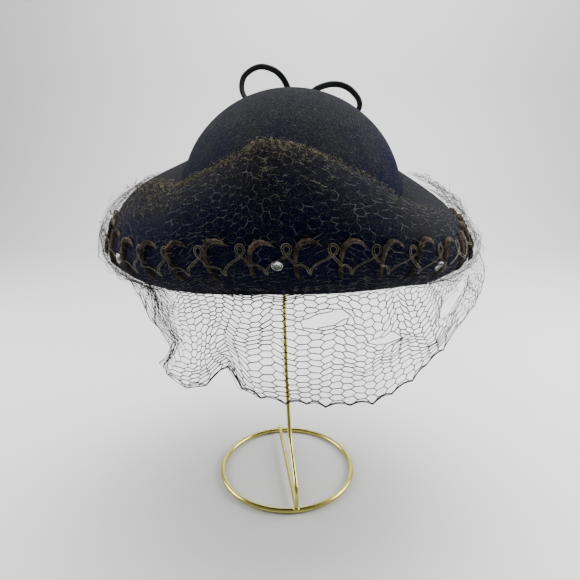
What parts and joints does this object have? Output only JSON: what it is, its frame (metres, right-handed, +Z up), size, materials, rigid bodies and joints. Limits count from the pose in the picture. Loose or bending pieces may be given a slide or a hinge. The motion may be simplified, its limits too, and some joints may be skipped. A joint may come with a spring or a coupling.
{
  "type": "veiled hat on wire stand",
  "caption": "Domed felt hat with a rolled, crested brim, a net veil, yarn scroll trim, clear stones and a two-loop bow, on a plain brass wire stand.",
  "frame": {"origin": "middle of the base of the bounding box, on the floor under the stand's ring", "axes": "+Z up, the hat's front towards -Y, +X to the right as seen from the front"},
  "size_m": [0.3066, 0.2744, 0.3564],
  "materials": {
    "felt": "brushed wool felt",
    "strap_felt": "smooth felt strap",
    "net": "six-sided veil net",
    "yarn": "thick soft yarn",
    "crystal": "cut, foil backed",
    "brass": "polished wire"
  },
  "bodies": {
    "root": {"crown": "felt", "brim": "felt", "stand": "brass", "veil": "net", "veil_gather": "net", "veil_tuft": "net", "trim_scroll_01": "yarn", "trim_scroll_02": "yarn", "trim_scroll_03": "yarn", "trim_scroll_04": "yarn", "trim_scroll_05": "yarn", "trim_scroll_06": "yarn", "trim_scroll_07": "yarn", "trim_scroll_08": "yarn", "trim_scroll_09": "yarn", "trim_scroll_10": "yarn", "trim_scroll_11": "yarn", "trim_scroll_12": "yarn", "trim_scroll_13": "yarn", "trim_scroll_14": "yarn", "trim_scroll_15": "yarn", "trim_scroll_16": "yarn", "trim_scroll_17": "yarn", "trim_scroll_18": "yarn", "trim_scroll_19": "yarn", "trim_scroll_20": "yarn", "trim_scroll_21": "yarn", "trim_scroll_22": "yarn", "trim_scroll_23": "yarn", "trim_scroll_24": "yarn", "trim_scroll_25": "yarn", "trim_scroll_26": "yarn", "trim_scroll_27": "yarn", "trim_scroll_28": "yarn", "trim_scroll_29": "yarn", "trim_scroll_30": "yarn", "trim_scroll_31": "yarn", "trim_scroll_32": "yarn", "rhinestone_1": "crystal", "rhinestone_2": "crystal", "rhinestone_3": "crystal", "rhinestone_4": "crystal", "rhinestone_5": "crystal", "rhinestone_6": "crystal", "rhinestone_7": "crystal", "bow_loop_left": "strap_felt", "bow_loop_right": "strap_felt", "bow_knot": "strap_felt"}
  },
  "joints": []
}
